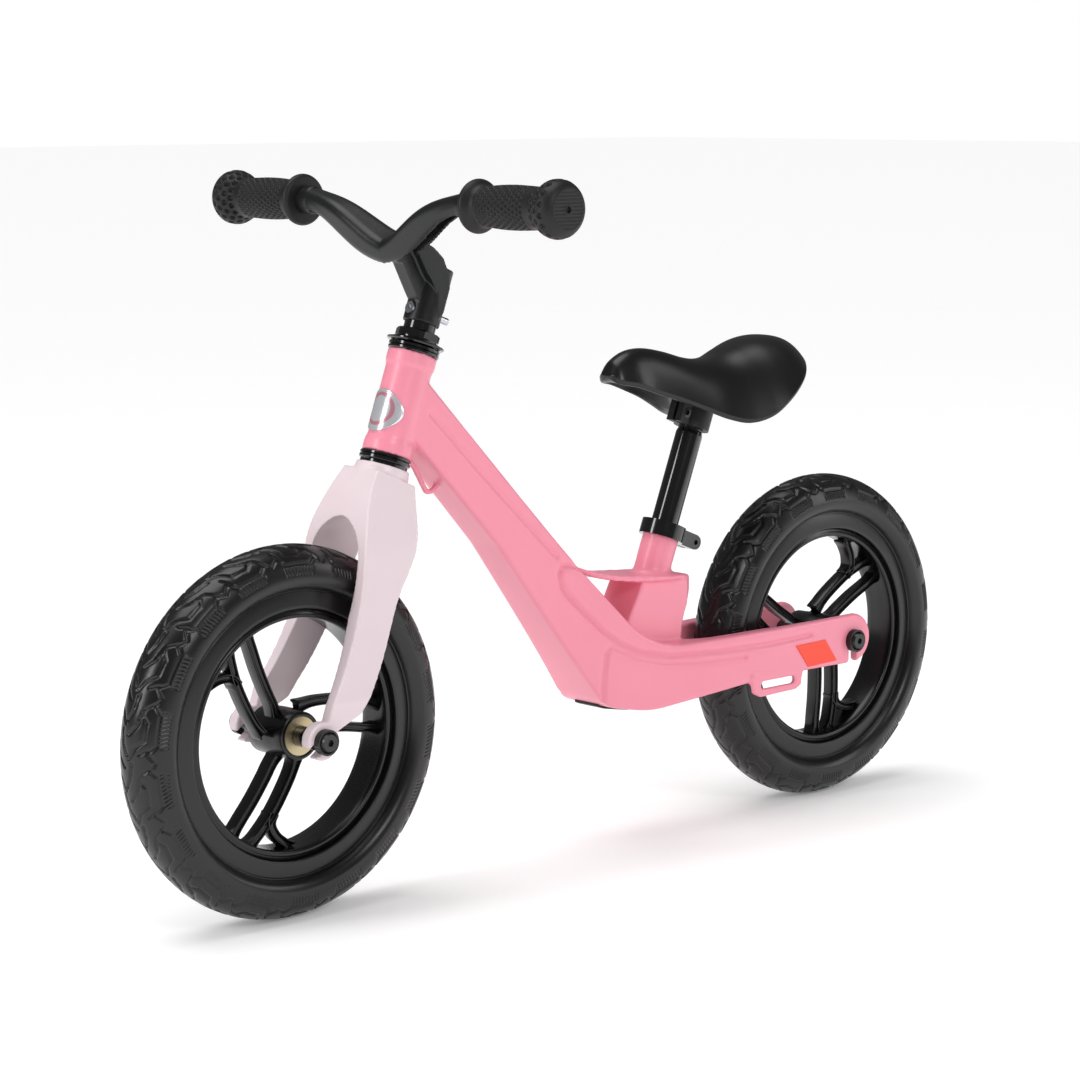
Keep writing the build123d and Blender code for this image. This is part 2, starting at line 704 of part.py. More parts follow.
strap_tab = [(-170.0, -15.0), (-174.0, -31.0), (-182.0, -35.0), (-227.0, -34.0), (-233.5, -31.0),
             (-236.5, -15.0)]
rod_root = head_base + head_up * 5 - head_ahead * (head_collar_radius - 1.5)
strap_rod_path = [(rod_root.X, rod_root.Z - wheel_radius), (168.0, 192.0), (156.0, 171.5), (150.0, 171.5),
                  (141.0, 180.0)]
slot_middle = ((strap_tab[1][0] + strap_tab[4][0]) / 2 - 0.5, -25.0)

with BuildPart() as frame:
    extrude(casting_side.sketch, amount=stay_outer + 5, both=True)
    with BuildSketch(Plane.XY):
        with BuildLine():
            Spline(*plan_edge)
            Polyline(
                plan_edge[-1], (stay_end, stay_outer), (stay_end, 0), (plan_edge[0][0], 0), plan_edge[0]
            )
        make_face()
        mirror(about=Plane.XZ)
    extrude(amount=2 * wheelbase, mode=Mode.INTERSECT)
    with BuildSketch(Plane.XY):
        with BuildLine():
            Polyline(
                (wheel_gap_edge[-1][0], 0), (stay_end, 0), (stay_end, stay_inner),
                (rear_axle.X + 2 * bearing_radius, stay_inner), wheel_gap_edge[0],
            )
            Spline(*wheel_gap_edge)
        make_face()
        mirror(about=Plane.XZ)
    extrude(amount=cut_height, mode=Mode.SUBTRACT)
    long_edges = edges().filter_by(lambda edge: edge.length > 40).filter_by(Axis.Y, reverse=True)
    fillet(long_edges, frame_edge_radius)
    add(bridge.part)
    add(seat_web.part)
    with BuildSketch(seat_plane.offset(seat_tube_top)):
        Circle(seat_tube_radius)
    extrude(amount=-seat_tube_length)
    with BuildSketch(head_section()):
        with BuildLine():
            Polyline(
                (0, 0), (head_collar_radius, 0), (head_collar_radius, head_collar_length),
                (head_tube_radius, head_collar_length + 4),
                (head_tube_radius, head_tube_length - head_collar_length - 4),
                (head_collar_radius, head_tube_length - head_collar_length),
                (head_collar_radius, head_tube_length), (0, head_tube_length), close=True,
            )
        make_face()
    revolve(axis=Axis(head_base, head_up))
    for side in (-1, 1):
        with BuildSketch(frame_side.offset(side * stay_outer)):
            with BuildLine():
                Polyline(*strap_tab, close=True)
            make_face()
            fillet(vertices().sort_by(Axis.Z)[:4], 3)
            with Locations(slot_middle):
                SlotOverall(strap_slot_length, strap_slot_width, mode=Mode.SUBTRACT)
        extrude(amount=-side * strap_tab_thickness)
    with BuildLine(frame_side) as strap_rod:
        FilletPolyline(*strap_rod_path, radius=2.6)
    with BuildSketch(Plane(origin=strap_rod.line @ 0, z_dir=strap_rod.line % 0)):
        Circle(strap_rod_radius)
    sweep()
    with BuildSketch(head_plane):
        Circle(steerer_radius + steerer_room)
    extrude(amount=head_tube_length, mode=Mode.SUBTRACT)
    for face, way in ((0, 1), (head_tube_length, -1)):
        with BuildSketch(head_plane.offset(face)):
            Circle(cup_insert_radius + fit_clearance)
        extrude(amount=way * (cup_insert_length + fit_clearance), mode=Mode.SUBTRACT)
    with BuildSketch(seat_plane.offset(seat_tube_top)):
        Circle(seat_post_radius + running_clearance)
    extrude(amount=-seat_bore_depth, mode=Mode.SUBTRACT)
    with BuildSketch(seat_plane.offset(seat_tube_top)):
        with Locations((-seat_tube_radius, 0)):
            Rectangle(seat_tube_radius, seat_clamp_slit - 0.6)
    extrude(amount=-2 * seat_clamp_height, mode=Mode.SUBTRACT)
    with BuildSketch(wheel_face(rear_axle)):
        Circle(axle_radius + slot_clearance)
        with Locations((0, -rear_eye_radius)):
            Rectangle(2 * (axle_radius + slot_clearance), 2 * rear_eye_radius)
    extrude(amount=2 * stay_outer, both=True, mode=Mode.SUBTRACT)
save(frame, "frame")

# A generic round badge that follows the head tube.
badge_plane = Plane(origin=head_base + head_up * badge_height, x_dir=across, z_dir=head_ahead)
with BuildPart() as badge:
    with BuildSketch(head_plane):
        Circle(head_tube_radius + skin_clearance + badge_thickness)
        Circle(head_tube_radius + skin_clearance, mode=Mode.SUBTRACT)
    extrude(amount=head_tube_length)
    with BuildSketch(badge_plane):
        Circle(badge_radius)
    extrude(amount=2 * head_tube_radius, mode=Mode.INTERSECT)
save(badge, "head_badge")

# Reflector stickers on the two stays.
reflector_outline = [(-226.0, 4.5), (-264.0, 5.2), (-279.0, -15.1), (-242.0, -16.1)]
for name, side in (("reflector_left", -1), ("reflector_right", 1)):
    with BuildPart() as reflector:
        with BuildSketch(frame_side.offset(side * stay_outer)):
            with BuildLine():
                Polyline(*reflector_outline, close=True)
            make_face()
        extrude(amount=side * reflector_thickness)
    save(reflector, name)

# The wear pad under the elbow.
with BuildPart() as pad:
    with BuildSketch(frame_side):
        offset(casting_side.sketch_local.face(), amount=pad_thickness)
        add(casting_side.sketch_local.face(), mode=Mode.SUBTRACT)
        with Locations(pad_middle):
            Rectangle(pad_length, 0.6 * pad_length, mode=Mode.INTERSECT)
    extrude(amount=pad_half_width, both=True)
save(pad, "underside_pad")

# ---------------------------------------------------------------- seat clamp
ear_middle = -(seat_tube_radius + seat_clamp_ear_reach) / 2
ear_width = 2 * seat_clamp_ear_half_width
clamp_bore = seat_tube_radius + fit_clearance
with BuildPart() as seat_clamp:
    with BuildSketch(seat_plane.offset(-seat_clamp_height / 2)):
        Circle(seat_tube_radius + seat_clamp_wall)
        with Locations((ear_middle, 0)):
            Rectangle(seat_clamp_ear_reach - seat_tube_radius, ear_width)
    extrude(amount=seat_clamp_height)
    with BuildSketch(seat_section()):
        with Locations((-seat_clamp_ear_reach, 0)):
            Circle(seat_clamp_ear_radius)
    extrude(amount=seat_clamp_ear_half_width, both=True)
    with BuildSketch(seat_plane.offset(-seat_clamp_height / 2)):
        Circle(clamp_bore)
        with Locations((-seat_clamp_ear_reach, 0)):
            Rectangle(2 * seat_clamp_ear_reach - 4, seat_clamp_slit)
    extrude(amount=seat_clamp_height, mode=Mode.SUBTRACT)
    with BuildSketch(seat_section()):
        with Locations((-seat_clamp_ear_reach, 0)):
            Circle(clamp_bolt_radius + slot_clearance)
    extrude(amount=ear_width, both=True, mode=Mode.SUBTRACT)
    for side in (-1, 1):
        with BuildSketch(seat_section().offset(side * seat_clamp_ear_half_width)):
            with Locations((-seat_clamp_ear_reach, 0)):
                Circle(clamp_head_radius + slot_clearance)
        extrude(amount=-side * clamp_head_height, mode=Mode.SUBTRACT)
save(seat_clamp, "seat_clamp")


def make_cross_bolt(name, plane, half, radius, head_radius, head_height):
    """A socket bolt that runs across, flush at both ends, with its barrel nut."""
    with BuildPart() as bolt:
        with BuildSketch(plane.offset(-half)):
            Circle(head_radius)
        extrude(amount=head_height)
        with BuildSketch(plane.offset(-half)):
            Circle(radius)
        extrude(amount=2 * half - head_height)
        with BuildSketch(plane.offset(-half)):
            RegularPolygon(head_radius * 0.55, 6)
        extrude(amount=head_height * 0.7, mode=Mode.SUBTRACT)
    save(bolt, f"{name}_bolt")
    with BuildPart() as nut:
        with BuildSketch(plane.offset(half)):
            Circle(head_radius)
        extrude(amount=-head_height)
        with BuildSketch(plane.offset(half - head_height)):
            Circle(radius + fit_clearance)
        extrude(amount=head_height - 1, mode=Mode.SUBTRACT)
    save(nut, f"{name}_nut")


clamp_bolt_middle = seat_base - seat_ahead * seat_clamp_ear_reach
clamp_bolt_plane = Plane(origin=clamp_bolt_middle, x_dir=seat_ahead, z_dir=-across)
make_cross_bolt(
    "seat_clamp", clamp_bolt_plane, seat_clamp_ear_half_width, clamp_bolt_radius, clamp_head_radius,
    clamp_head_height,
)

# ---------------------------------------------------------------- seat post and saddle
with BuildPart() as seat_post:
    with BuildSketch(seat_section()):
        with BuildLine():
            Polyline(
                (seat_post_radius - seat_post_wall, seat_post_bottom), (seat_post_radius, seat_post_bottom),
                (seat_post_radius, seat_post_top - post_neck_length - 4),
                (post_neck_radius, seat_post_top - post_neck_length), (post_neck_radius, seat_post_top),
                (0, seat_post_top), (0, seat_post_top - seat_post_wall),
                (post_neck_radius - seat_post_wall, seat_post_top - seat_post_wall),
                (post_neck_radius - seat_post_wall, seat_post_top - post_neck_length),
                (seat_post_radius - seat_post_wall, seat_post_top - post_neck_length - 4), close=True,
            )
        make_face()
    revolve(axis=Axis(seat_base, seat_up))
save(seat_post, "seat_post")

# Stations along the saddle: x, half width, height of the middle and height of the edge
# over the axles.
saddle_stations = [
    (-42.0, 9.0, 253.0, 244.5), (-50.0, 15.0, 264.0, 243.0), (-64.0, 19.0, 270.0, 240.0),
    (-82.0, 21.5, 271.0, 233.5), (-104.0, 27.0, 267.0, 226.0), (-128.0, 35.5, 260.0, 216.5),
    (-148.0, 43.0, 257.5, 208.5), (-166.0, 51.0, 259.5, 205.0), (-186.0, 58.0, 266.0, 210.0),
    (-206.0, 61.0, 272.0, 224.0), (-224.0, 57.0, 274.5, 238.0), (-240.0, 43.0, 272.5, 247.0),
    (-251.0, 27.0, 267.0, 252.0), (-257.0, 12.0, 261.0, 254.0),
]


with BuildPart() as saddle_cover:
    for x, half, top, edge in saddle_stations:
        rim = edge + saddle_rim_height
        under = max(top - saddle_padding, edge + 0.5)
        with BuildSketch(Plane(origin=(x, 0, wheel_radius), x_dir=across, z_dir=(1, 0, 0))):
            with BuildLine():
                ThreePointArc((-half, rim), (0, top), (half, rim))
                Line((half, rim), (half, edge))
                ThreePointArc((half, edge), (0, under), (-half, edge))
                Line((-half, edge), (-half, rim))
            make_face()
    loft()
save(saddle_cover, "saddle_cover")

# The moulded base follows the cover's underside, just clear of it.
with BuildPart() as saddle_base:
    for x, half, top, edge in saddle_stations[2:-3]:
        under = max(top - saddle_padding, edge + 0.5) - saddle_base_gap
        inner_half = half - saddle_base_inset
        rim = edge - saddle_base_gap + (under - edge) * (1 - (inner_half / half) ** 2)
        with BuildSketch(Plane(origin=(x, 0, wheel_radius), x_dir=across, z_dir=(1, 0, 0))):
            with BuildLine():
                ThreePointArc((-inner_half, rim), (0, under), (inner_half, rim))
                Line((inner_half, rim), (inner_half, rim - saddle_base_thickness))
                ThreePointArc(
                    (inner_half, rim - saddle_base_thickness), (0, under - saddle_base_thickness),
                    (-inner_half, rim - saddle_base_thickness),
                )
                Line((-inner_half, rim - saddle_base_thickness), (-inner_half, rim))
            make_face()
    loft()
save(saddle_base, "saddle_base")

# The clamp under the saddle: a split collar on the post's neck below a bolted plate.
collar_middle = seat_base + seat_up * (bracket_bottom + collar_height / 2)
with BuildPart() as bracket:
    with BuildSketch(seat_plane.offset(bracket_bottom)):
        Circle(bracket_radius)
        with Locations((bracket_ear_reach / 2, 0)):
            Rectangle(bracket_ear_reach, 2 * bracket_ear_half_width)
    extrude(amount=collar_height)
    with BuildSketch(Plane.XY.offset(wheel_radius + bracket_plate_rise)):
        with Locations((collar_middle.X - bracket_plate_back, 0)):
            RectangleRounded(bracket_plate_length, bracket_plate_width, bracket_plate_thickness)
    extrude(amount=-bracket_plate_thickness)
    with BuildSketch(seat_plane.offset(bracket_bottom)):
        Circle(post_neck_radius + fit_clearance)
    extrude(amount=seat_post_top - bracket_bottom + fit_clearance, mode=Mode.SUBTRACT)
    with BuildSketch(seat_plane.offset(bracket_bottom)):
        with Locations((bracket_ear_reach, 0)):
            Rectangle(2 * bracket_ear_reach - post_neck_radius, seat_clamp_slit)
    extrude(amount=collar_height - 6, mode=Mode.SUBTRACT)
    bracket_bolt_plane = Plane(
        origin=collar_middle + seat_ahead * (bracket_ear_reach - clamp_head_radius - 1) - seat_up * 3,
        x_dir=seat_ahead, z_dir=-across,
    )
    with BuildSketch(bracket_bolt_plane):
        Circle(clamp_bolt_radius + slot_clearance)
    extrude(amount=2 * bracket_ear_half_width, both=True, mode=Mode.SUBTRACT)
    for side in (-1, 1):
        with BuildSketch(bracket_bolt_plane.offset(side * bracket_ear_half_width)):
            Circle(clamp_head_radius + slot_clearance)
        extrude(amount=-side * clamp_head_height, mode=Mode.SUBTRACT)
save(bracket, "saddle_bracket")
make_cross_bolt(
    "saddle_bracket", bracket_bolt_plane, bracket_ear_half_width, clamp_bolt_radius, clamp_head_radius,
    clamp_head_height,
)
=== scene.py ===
import math
import bpy
import bmesh
import numpy as np
from mathutils import Matrix, Vector


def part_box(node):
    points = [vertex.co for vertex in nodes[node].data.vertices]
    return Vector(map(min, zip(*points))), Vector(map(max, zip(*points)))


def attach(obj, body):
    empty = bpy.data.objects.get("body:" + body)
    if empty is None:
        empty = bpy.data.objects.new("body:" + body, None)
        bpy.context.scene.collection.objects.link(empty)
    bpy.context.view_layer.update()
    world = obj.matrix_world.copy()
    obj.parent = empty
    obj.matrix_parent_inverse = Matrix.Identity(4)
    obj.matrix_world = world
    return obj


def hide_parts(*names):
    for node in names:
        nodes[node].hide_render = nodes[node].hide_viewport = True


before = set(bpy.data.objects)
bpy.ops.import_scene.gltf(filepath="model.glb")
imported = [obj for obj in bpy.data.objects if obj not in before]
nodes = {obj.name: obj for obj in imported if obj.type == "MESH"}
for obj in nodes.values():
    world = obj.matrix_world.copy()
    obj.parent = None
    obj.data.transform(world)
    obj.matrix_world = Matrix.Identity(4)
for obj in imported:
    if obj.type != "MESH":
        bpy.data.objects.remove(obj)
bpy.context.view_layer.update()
scene = bpy.context.scene
mm = 0.001
print("frame loaded")

# where the CAD says the main centres are, in millimetres
def middleOf(node):
    low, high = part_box(node)
    return np.array((low + high) / 2) * 1000


frontAxle = middleOf("front_axle")
rearAxle = middleOf("rear_axle")
gripMiddle = middleOf("grip_left")


# ---- meshes worked out on a grid

# Quads between neighbouring rings of points; "around" closes each ring, "along" joins last to first.
def gridFaces(rows, columns, around=True, along=False):
    r = np.arange(rows if along else rows - 1)
    c = np.arange(columns if around else columns - 1)
    r, c = np.meshgrid(r, c, indexing="ij")
    r2, c2 = (r + 1) % rows, (c + 1) % columns
    quads = [r * columns + c, r * columns + c2, r2 * columns + c2, r2 * columns + c]
    return np.stack(quads, -1).reshape(-1, 4)


# One shell from an array of points (along, around, 3) in mm. Open ends get a fan to their middle.
def shell(points, around=True, along=False, caps=True):
    rows, columns = points.shape[:2]
    vertices = points.reshape(-1, 3)
    faces = [tuple(f) for f in gridFaces(rows, columns, around, along).tolist()]
    if caps and not along:
        for row, turn in ((0, 1), (rows - 1, -1)):
            pole = len(vertices)
            vertices = np.vstack([vertices, points[row].mean(0)])
            ring = [row * columns + k for k in range(columns)]
            faces += [(ring[k], pole, ring[(k + 1) % columns])[::turn] for k in range(columns)]
    return vertices, faces


# Several shells become one mesh object, at the origin, in metres, with faces pointing outwards.
def makePiece(name, shells, smooth=True):
    vertices, faces, start = [], [], 0
    for points, quads in shells:
        vertices.append(points)
        faces += [tuple(i + start for i in f) for f in quads]
        start += len(points)
    mesh = bpy.data.meshes.new(name)
    mesh.from_pydata((np.vstack(vertices) * mm).tolist(), [], faces)
    work = bmesh.new()
    work.from_mesh(mesh)
    bmesh.ops.recalc_face_normals(work, faces=work.faces)
    work.to_mesh(mesh)
    work.free()
    mesh.shade_smooth() if smooth else mesh.shade_flat()
    piece = bpy.data.objects.new(name, mesh)
    scene.collection.objects.link(piece)
    return piece


# Distance from each point (s, t) to the nearest of the given line segments.
def lineDistance(s, t, lines):
    nearest = np.full(s.shape, 1e9)
    for line in lines:
        for (s0, t0), (s1, t1) in zip(line[:-1], line[1:]):
            ds, dt = s1 - s0, t1 - t0
            share = np.clip(((s - s0) * ds + (t - t0) * dt) / (ds * ds + dt * dt), 0, 1)
            nearest = np.minimum(nearest, np.hypot(s - s0 - share * ds, t - t0 - share * dt))
    return nearest


# 1 inside, 0 outside, with a soft slope of the given width around the edge.
def softStep(value, edge, width):
    x = np.clip((edge - value) / width + 0.5, 0, 1)
    return x * x * (3 - 2 * x)


# Radius r and height y turned about an axle that runs along Y.
def turned(r, y, angle, centre):
    return np.stack([centre[0] + r * np.cos(angle), centre[1] + y + 0 * angle,
                     centre[2] + r * np.sin(angle)], -1)


# ---- materials

def hexColour(code):
    channels = np.array([int(code[k:k + 2], 16) for k in (1, 3, 5)]) / 255
    linear = np.where(channels <= 0.04045, channels / 12.92, ((channels + 0.055) / 1.055) ** 2.4)
    return (*linear.tolist(), 1.0)


# A slot takes either another node's output or a plain value.
def feed(tree, slot, value):
    if isinstance(value, bpy.types.NodeSocket):
        tree.links.new(value, slot)
    else:
        slot.default_value = value


# Inputs are fed in order from "values", or by name without spaces.
def addNode(tree, kind, settings=None, values=(), **links):
    node = tree.nodes.new(kind)
    for key, value in (settings or {}).items():
        if hasattr(node, key):
            setattr(node, key, value)
        else:
            node.inputs[key].default_value = value
    for slot, value in zip(node.inputs, values):
        feed(tree, slot, value)
    for key, source in links.items():
        slot = next(i for i in node.inputs if i.name.replace(" ", "") == key and i.enabled)
        tree.links.new(source, slot)
    return node


def mixColour(tree, share, first, second):
    mix = addNode(tree, "ShaderNodeMix", {"data_type": "RGBA"}, Factor=share)
    slots = [i for i in mix.inputs if i.type == "RGBA"]
    feed(tree, slots[0], first)
    feed(tree, slots[1], second)
    return next(o for o in mix.outputs if o.type == "RGBA")


# sizes in mm
finishPattern = {"cloud": 45, "cloudDetail": 3.0, "grainDetail": 4.0, "reliefHeight": 0.2}


# Every finish is a body colour and a roughness that wander a little together, and a fine relief.
# grain is the size of that relief in millimetres.
def makeFinish(name, colour, shade, roughness, spread, grain, relief, metallic=0.0, coat=0.0,
               coatRoughness=0.1, specular=0.5):
    material = bpy.data.materials.new(name)
    material.use_nodes = True
    tree = material.node_tree
    tree.nodes.clear()
    place = addNode(tree, "ShaderNodeTexCoord")
    cloudy = addNode(tree, "ShaderNodeTexNoise", {"Scale": 1000 / finishPattern["cloud"],
                                                  "Detail": finishPattern["cloudDetail"]},
                     Vector=place.outputs["Object"])
    fine = addNode(tree, "ShaderNodeTexNoise",
                   {"Scale": 1000 / grain, "Detail": finishPattern["grainDetail"]},
                   Vector=place.outputs["Object"])
    body = mixColour(tree, cloudy.outputs["Fac"], hexColour(colour), hexColour(shade))
    gloss = addNode(tree, "ShaderNodeMapRange", {"To Min": roughness - spread, "To Max": roughness + spread},
                    Value=cloudy.outputs["Fac"])
    bump = addNode(tree, "ShaderNodeBump",
                   {"Distance": finishPattern["reliefHeight"] * mm, "Strength": relief},
                   Height=fine.outputs["Fac"])
    shader = addNode(tree, "ShaderNodeBsdfPrincipled",
                     {"Metallic": metallic, "Coat Weight": coat, "Coat Roughness": coatRoughness},
                     BaseColor=body, Roughness=gloss.outputs["Result"], Normal=bump.outputs["Normal"])
    if not metallic:
        shader.inputs["Specular IOR Level"].default_value = specular
    addNode(tree, "ShaderNodeOutputMaterial", {"target": "ALL"}, Surface=shader.outputs["BSDF"])
    return material


def shaderOf(material):
    return next(n for n in material.node_tree.nodes if n.type == "BSDF_PRINCIPLED")


# polyester powder coat over cast alloy: satin, with a very slight orange peel
pinkPowderCoat = makeFinish("pinkPowderCoat", "#EF8AA0", "#F294A8", 0.34, 0.03, 1.6, 0.10, coat=0.12,
                            coatRoughness=0.25)
palePowderCoat = makeFinish("palePowderCoat", "#DFCDD2", "#E4D4D9", 0.34, 0.03, 1.6, 0.10, coat=0.12,
                            coatRoughness=0.25)
# closed-cell EVA foam, moulded: satin skin with a fine pebble
evaFoam = makeFinish("evaFoam", "#0C0C0D", "#111112", 0.30, 0.05, 0.9, 0.22, specular=0.5)
# glass-filled nylon rim, moulded with a half-gloss face
nylonRim = makeFinish("nylonRim", "#070708", "#0B0B0C", 0.24, 0.05, 1.2, 0.12, specular=0.45)
# the same nylon with a spark-eroded satin face, on the bar and stem
nylonBar = makeFinish("nylonBar", "#0D0E0F", "#121314", 0.36, 0.05, 0.5, 0.35, specular=0.45)
# soft thermoplastic rubber of the grips
gripRubber = makeFinish("gripRubber", "#101011", "#151516", 0.48, 0.05, 0.7, 0.30, specular=0.38)
# integral-skin polyurethane foam of the saddle: soft satin with a leather-fine grain
saddleSkin = makeFinish("saddleSkin", "#070708", "#0B0B0C", 0.32, 0.04, 0.8, 0.20, specular=0.5)
# gloss enamel over steel: headset, seat post and clamps
glossEnamel = makeFinish("glossEnamel", "#0A0A0B", "#0F0F10", 0.14, 0.03, 2.0, 0.05, coat=0.5,
                         coatRoughness=0.05)
# dull yellow chromate on the bearing faces
bearingBrass = makeFinish("bearingBrass", "#B7A883", "#CDBF9C", 0.34, 0.08, 0.6, 0.10, metallic=1.0)
# zinc plated steel of bolts and axles
zincSteel = makeFinish("zincSteel", "#B9BCC2", "#CFD1D6", 0.28, 0.07, 0.7, 0.08, metallic=1.0)
# black oxide on the socket bolts
blackOxide = makeFinish("blackOxide", "#141416", "#1C1D20", 0.30, 0.05, 0.6, 0.10, specular=0.6)
# moulded nylon under the saddle, matt
nylonBase = makeFinish("nylonBase", "#111112", "#161617", 0.50, 0.05, 0.8, 0.30)
print("finishes made")


# ---- camera, floor and light
cameraSet = {"place": (1664.8, 1770.4, 625.7), "azimuth": 136.65, "elevation": 8.95, "roll": 0.15,
             "focal": 2969.66, "width": 1080, "middle": (575.94, 562.41), "sensor": 36, "farClip": 100}


def makeCamera():
    a, e = math.radians(cameraSet["azimuth"]), math.radians(cameraSet["elevation"])
    back = Vector((math.sin(a) * math.cos(e), -math.cos(a) * math.cos(e), math.sin(e)))
    lens = bpy.data.cameras.new("camera")
    lens.sensor_width = cameraSet["sensor"]
    lens.lens = cameraSet["focal"] / cameraSet["width"] * cameraSet["sensor"]
    lens.shift_x = (cameraSet["width"] / 2 - cameraSet["middle"][0]) / cameraSet["width"]
    lens.shift_y = (cameraSet["middle"][1] - cameraSet["width"] / 2) / cameraSet["width"]
    lens.clip_end = cameraSet["farClip"]
    camera = bpy.data.objects.new("camera", lens)
    scene.collection.objects.link(camera)
    turn = (-back).to_track_quat("-Z", "Y").to_matrix().to_4x4()
    roll = Matrix.Rotation(math.radians(-cameraSet["roll"]), 4, "Z")
    camera.matrix_world = Matrix.Translation(Vector(cameraSet["place"]) * mm) @ turn @ roll
    scene.camera = camera


makeCamera()

# metres, watts and degrees
studio = {"floorSize": 60.0, "floorGlow": 0.16, "floorColour": "#F8F8F8", "world": 0.40,
          "worldMirrored": 0.14, "ceiling": 1.6, "ceilingSpread": 50, "ceilingTilt": (8, 6, 0),
          "aim": (0, 0, 0.25),
          "softboxes": [("keyLight", (0.6, 2.6, 1.9), 0.9, 0.9, 20),
                        ("leftLight", (2.6, -0.5, 1.3), 0.5, 1.5, 22),
                        ("rightLight", (-1.9, 1.6, 1.1), 0.4, 1.6, 9)]}
white = (1, 1, 1, 1)


def makeFloor():
    half = studio["floorSize"] / 2
    floorMesh = bpy.data.meshes.new("floor")
    floorMesh.from_pydata([(-half, -half, 0), (half, -half, 0), (half, half, 0), (-half, half, 0)], [],
                          [(0, 1, 2, 3)])
    floor = bpy.data.objects.new("floor", floorMesh)
    scene.collection.objects.link(floor)
    paint = makeFinish("floorPaint", studio["floorColour"], "#FAFAFA", 0.7, 0.05, 3.0, 0.02, specular=0.2)
    shaderOf(paint).inputs["Emission Color"].default_value = white
    shaderOf(paint).inputs["Emission Strength"].default_value = studio["floorGlow"]
    floor.data.materials.append(paint)


# White to the camera, softer as light on the bike, and softer again where the bike mirrors it.
def makeWorld():
    world = bpy.data.worlds.new("studio")
    world.use_nodes = True
    tree = world.node_tree
    soft = studio["world"]
    ray = addNode(tree, "ShaderNodeLightPath").outputs
    seen = addNode(tree, "ShaderNodeMath", {"operation": "MULTIPLY_ADD"},
                   (ray["Is Camera Ray"], 1 - soft, soft))
    level = addNode(tree, "ShaderNodeMath", {"operation": "MULTIPLY_ADD"},
                    (ray["Is Glossy Ray"], studio["worldMirrored"] - soft, seen.outputs[0]))
    tree.nodes["Background"].inputs["Color"].default_value = white
    tree.links.new(level.outputs[0], tree.nodes["Background"].inputs["Strength"])
    scene.world = world


def makeLights():
    glow = bpy.data.lights.new("ceilingGlow", "SUN")
    glow.energy, glow.angle = studio["ceiling"], math.radians(studio["ceilingSpread"])
    ceiling = bpy.data.objects.new("ceilingGlow", glow)
    ceiling.rotation_euler = tuple(math.radians(v) for v in studio["ceilingTilt"])
    scene.collection.objects.link(ceiling)
    for name, place, width, height, power in studio["softboxes"]:
        box = bpy.data.lights.new(name, "AREA")
        box.shape = "RECTANGLE"
        box.size, box.size_y = width, height
        box.energy = power
        lamp = bpy.data.objects.new(name, box)
        lamp.location = place
        lamp.rotation_euler = (Vector(studio["aim"]) - Vector(place)).to_track_quat("-Z", "Y").to_euler()
        scene.collection.objects.link(lamp)


makeFloor()
makeWorld()
makeLights()
scene.view_settings.view_transform = "Standard"
print("studio made")


# Every finished piece takes its material and the body it rides on, and the CAD node it replaces is
# hidden.
def dress(piece, material, body, node):
    piece.data.materials.append(material)
    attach(piece, body)
    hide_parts(node)


# ---- tyres
tyre = {"radius": 145.0, "width": 48.8, "ringWidth": 36.4, "cells": 18, "steps": 64, "groove": 1.5,
        "grooveWidth": 1.7, "grooveEdge": 1.1, "hatch": 0.85, "hatchPitch": 3.4, "hatchSlant": 0.35,
        "hatchMiddle": 30.6, "hatchHalf": 3.4, "hatchAlong": 26, "hatchReach": 15}

# grooves in one cell: distance round, distance from the middle
treadLines = [[(0, 24.5), (7, 19), (13, 26), (38, 26), (44, 20.5), (50.6, 24.5)],
              [(2, 3), (10, 8), (16, 16), (30, 17), (36, 12)],
              [(20, 2), (27, 9), (40, 13), (46, 21)],
              [(30, -1), (38, 4), (50, 6)],
              [(6, 13), (10, 20)]]


# Tread: the cell's grooves and a slanted hatch on the shoulder, repeated round the tyre. The far
# side is the same, half a cell on.
def treadDepth(t):
    cell = 2 * math.pi * tyre["radius"] / tyre["cells"]
    s = np.arange(tyre["steps"]) * cell / tyre["steps"]
    s, t = np.meshgrid(s, t, indexing="ij")
    depth = np.zeros(s.shape)
    for side in (1, -1):
        shifted = (s + (0 if side > 0 else cell / 2)) % cell
        across = side * t
        for wrap in (-cell, 0, cell):
            near = lineDistance(shifted, across, [[(a + wrap, b) for a, b in line] for line in treadLines])
            groove = softStep(near, tyre["grooveWidth"] / 2, tyre["grooveEdge"])
            depth = np.maximum(depth, tyre["groove"] * groove)
        slanted = shifted - tyre["hatchSlant"] * (across - 28)
        wave = 0.5 + 0.5 * np.cos(2 * math.pi * slanted / tyre["hatchPitch"])
        inBand = (softStep(np.abs(across - tyre["hatchMiddle"]), tyre["hatchHalf"], 0.8)
                  * softStep(np.abs(shifted - tyre["hatchAlong"]), tyre["hatchReach"], 2))
        depth = np.maximum(depth, tyre["hatch"] * wave * inBand)
    return np.tile(depth, (tyre["cells"], 1))


